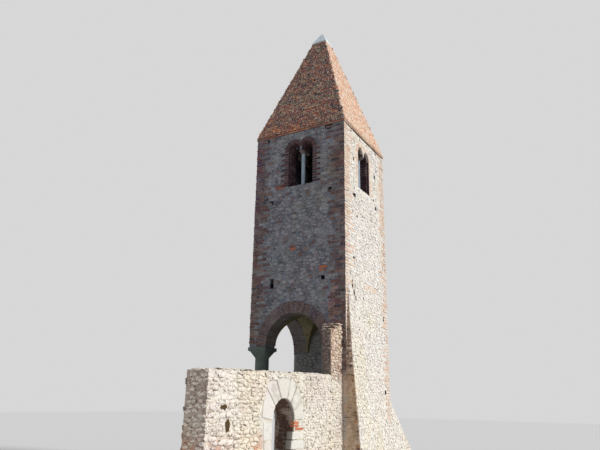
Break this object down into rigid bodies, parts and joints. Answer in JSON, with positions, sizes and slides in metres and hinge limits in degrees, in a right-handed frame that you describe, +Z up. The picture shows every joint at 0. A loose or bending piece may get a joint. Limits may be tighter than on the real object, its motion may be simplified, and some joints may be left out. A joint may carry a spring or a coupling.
{
  "type": "bell tower",
  "caption": "Small medieval bell tower of rubble and brick with an open arched bay, paired belfry lights, a brick pyramid spire and a ruined low wall with a doorway.",
  "frame": {"origin": "middle of the square tower's plan, at ground level", "axes": "+Z up; +X along the front face from left to right; the front face, with the open arch and the low wall, looks along -Y"},
  "size_m": [3.22, 9.95, 13.306],
  "materials": {
    "rubble": "field stones and broken brick in pale lime mortar, weathered",
    "arch_brick": "old hand-made red brick with lime joints",
    "spire_brick": "old mixed orange, red and brown brick, laid flat",
    "grey_stone": "grey-green dressed stone with lichen",
    "white_stone": "pale dressed stone",
    "pale_voussoir": "pale split stone"
  },
  "bodies": {
    "root": {"base_rear_wall": "rubble", "base_right_wall": "rubble", "base_vault": "rubble", "cap_stone": "white_stone", "column_capital": "grey_stone", "column_impost": "grey_stone", "column_plinth": "grey_stone", "column_shaft": "grey_stone", "corner_batter": "rubble", "doorway_arch": "pale_voussoir", "eave_course": "arch_brick", "front_arch_ring": "arch_brick", "front_arch_wall": "rubble", "front_belfry_head": "rubble", "front_belfry_piers": "rubble", "front_capital": "white_stone", "front_colonnette": "white_stone", "front_right_pier": "rubble", "front_shaft_wall": "rubble", "left_arch_ring": "arch_brick", "left_arch_wall": "rubble", "left_belfry_head": "rubble", "left_belfry_piers": "rubble", "left_capital": "white_stone", "left_colonnette": "white_stone", "left_shaft_wall": "rubble", "low_wall_far": "rubble", "low_wall_head": "rubble", "low_wall_near": "rubble", "rear_belfry_head": "rubble", "rear_belfry_piers": "rubble", "rear_buttress": "rubble", "rear_capital": "white_stone", "rear_colonnette": "white_stone", "rear_shaft_wall": "rubble", "right_belfry_head": "rubble", "right_belfry_piers": "rubble", "right_capital": "white_stone", "right_colonnette": "white_stone", "right_shaft_wall": "rubble", "spire": "spire_brick", "wall_stub": "rubble"}
  },
  "joints": []
}
